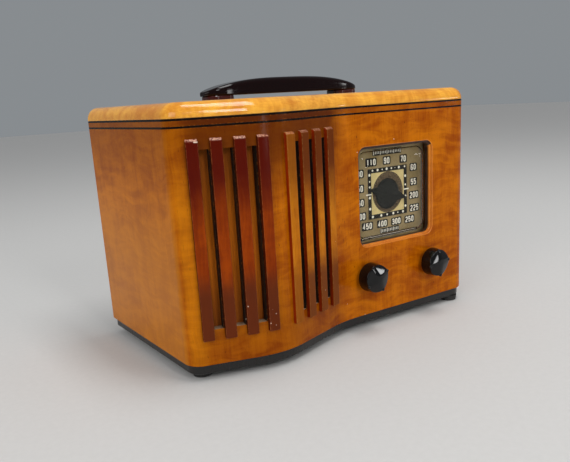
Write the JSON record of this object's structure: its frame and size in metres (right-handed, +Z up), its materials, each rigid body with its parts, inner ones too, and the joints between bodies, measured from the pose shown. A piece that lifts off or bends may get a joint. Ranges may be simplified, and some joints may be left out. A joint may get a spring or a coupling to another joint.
{
  "type": "radio receiver",
  "caption": "Compact wooden table radio with a bowed front over the speaker, upright slats, a square dial under a swollen lens, knobs and a carrying handle.",
  "frame": {"origin": "centre of the bounding box at the floor under the rubber feet", "axes": "+X to the right seen from the front, along the longest extent; +Y to the back, along the shortest extent; +Z up; the front faces -Y"},
  "size_m": [0.266, 0.1596, 0.1922],
  "materials": {
    "cabinet_veneer": "polished lacquer over figured veneer",
    "top_veneer": "polished lacquer, paler than the sides",
    "black_string": "black dyed inlay under lacquer",
    "slat_wood": "dark red-brown lacquer, rubbed at the ends",
    "grille_cloth": "woven brown cloth",
    "inner_wood": "bare softwood",
    "black_base": "black lacquer, scuffed along its lower edge",
    "foot_rubber": "matt black",
    "handle_plastic": "dark maroon, glossy",
    "knob_plastic": "black, glossy",
    "lens_plastic": "clear, slightly aged",
    "dial_bronze": "bronze lacquered sheet",
    "pointer_enamel": "dark green-black enamel",
    "screw_steel": "dull plated steel",
    "chassis_steel": "dull cadmium-plated sheet",
    "gang_steel": "plated sheet",
    "vane_aluminium": "bright sheet",
    "shaft_steel": "ground",
    "drum_alloy": "cast",
    "drive_cord": "waxed linen cord",
    "brass_part": "plain brass",
    "control_case": "plated cap",
    "socket_board": "moulded phenolic",
    "tube_base_plastic": "moulded phenolic",
    "tube_glass": "clear, silvered at the crown",
    "lamp_glass": "clear",
    "can_aluminium": "drawn can",
    "capacitor_card": "waxed tube",
    "core_iron": "varnished iron stampings",
    "coil_paper": "waxed paper wrap",
    "grommet_rubber": "black",
    "back_fibre": "pressed fibre board",
    "basket_paint": "dark grey enamel",
    "gasket_card": "grey-brown card",
    "spider_fibre": "varnished cloth",
    "cone_paper": "dark felted paper",
    "coil_copper": "enamelled copper wire",
    "yoke_iron": "plated iron"
  },
  "bodies": {
    "cabinet": {"cabinet_wrap": "cabinet_veneer", "top_panel": "top_veneer", "string_upper": "black_string", "string_lower": "black_string", "slats_left": "slat_wood", "slats_right": "slat_wood", "grille_cloth": "grille_cloth", "back_cleats": "inner_wood", "glue_blocks": "inner_wood", "base_board": "black_base", "rubber_feet": "foot_rubber", "foot_screws": "screw_steel", "handle": "handle_plastic", "handle_pads": "handle_plastic", "handle_screws": "screw_steel", "dial_lens": "lens_plastic", "lens_screws": "screw_steel", "dial_plate": "dial_bronze", "dial_rivets": "dial_bronze", "dial_bracket": "chassis_steel", "lamp_socket": "brass_part", "pilot_lamp": "lamp_glass", "gang_frame": "gang_steel", "gang_screws": "screw_steel", "stator_plates": "vane_aluminium", "drive_cord": "drive_cord", "tuning_bushing": "brass_part", "bushing_nuts": "brass_part", "volume_control": "control_case", "chassis": "chassis_steel", "chassis_bolts": "screw_steel", "tube_sockets": "socket_board", "tube_bases": "tube_base_plastic", "tube_bulbs": "tube_glass", "if_cans": "can_aluminium", "filter_capacitor": "capacitor_card", "transformer_core": "core_iron", "transformer_coil": "coil_paper", "cord_grommet": "grommet_rubber", "back_cover": "back_fibre", "back_screws": "screw_steel", "baffle_board": "inner_wood", "speaker_basket": "basket_paint", "speaker_gasket": "gasket_card", "speaker_spider": "spider_fibre", "speaker_bolts": "screw_steel", "speaker_yoke": "yoke_iron", "field_coil": "coil_copper"},
    "rotor": {"rotor_plates": "vane_aluminium", "gang_shaft": "shaft_steel", "dial_drum": "drum_alloy", "dial_pointer": "pointer_enamel"},
    "spindle": {"tuning_spindle": "shaft_steel", "tuning_knob": "knob_plastic"},
    "volume": {"volume_shaft": "shaft_steel", "volume_knob": "knob_plastic"},
    "cone": {"speaker_cone": "cone_paper", "dust_cap": "cone_paper", "voice_coil": "coil_copper"}
  },
  "joints": [
    {"name": "dial_turn", "type": "hinge", "parent": "cabinet", "child": "rotor", "pos_m": [0.0535, 0, 0.1], "axis": [0, 1, 0], "range_deg": [-15, 165]},
    {"name": "tuning_turn", "type": "hinge", "parent": "cabinet", "child": "spindle", "pos_m": [0.0865, 0, 0.042], "axis": [0, 1, 0], "range_deg": [-120, 1320]},
    {"name": "volume_turn", "type": "hinge", "parent": "cabinet", "child": "volume", "pos_m": [0.0205, 0, 0.042], "axis": [0, 1, 0], "range_deg": [0, 300]},
    {"name": "cone_move", "type": "slide", "parent": "cabinet", "child": "cone", "axis": [0, 1, 0], "range_m": [-0.001, 0.001], "stiffness_N_per_m": 1000}
  ],
  "couplings": [
    {"joint": "tuning_turn", "follows": "dial_turn", "ratio": 8}
  ]
}
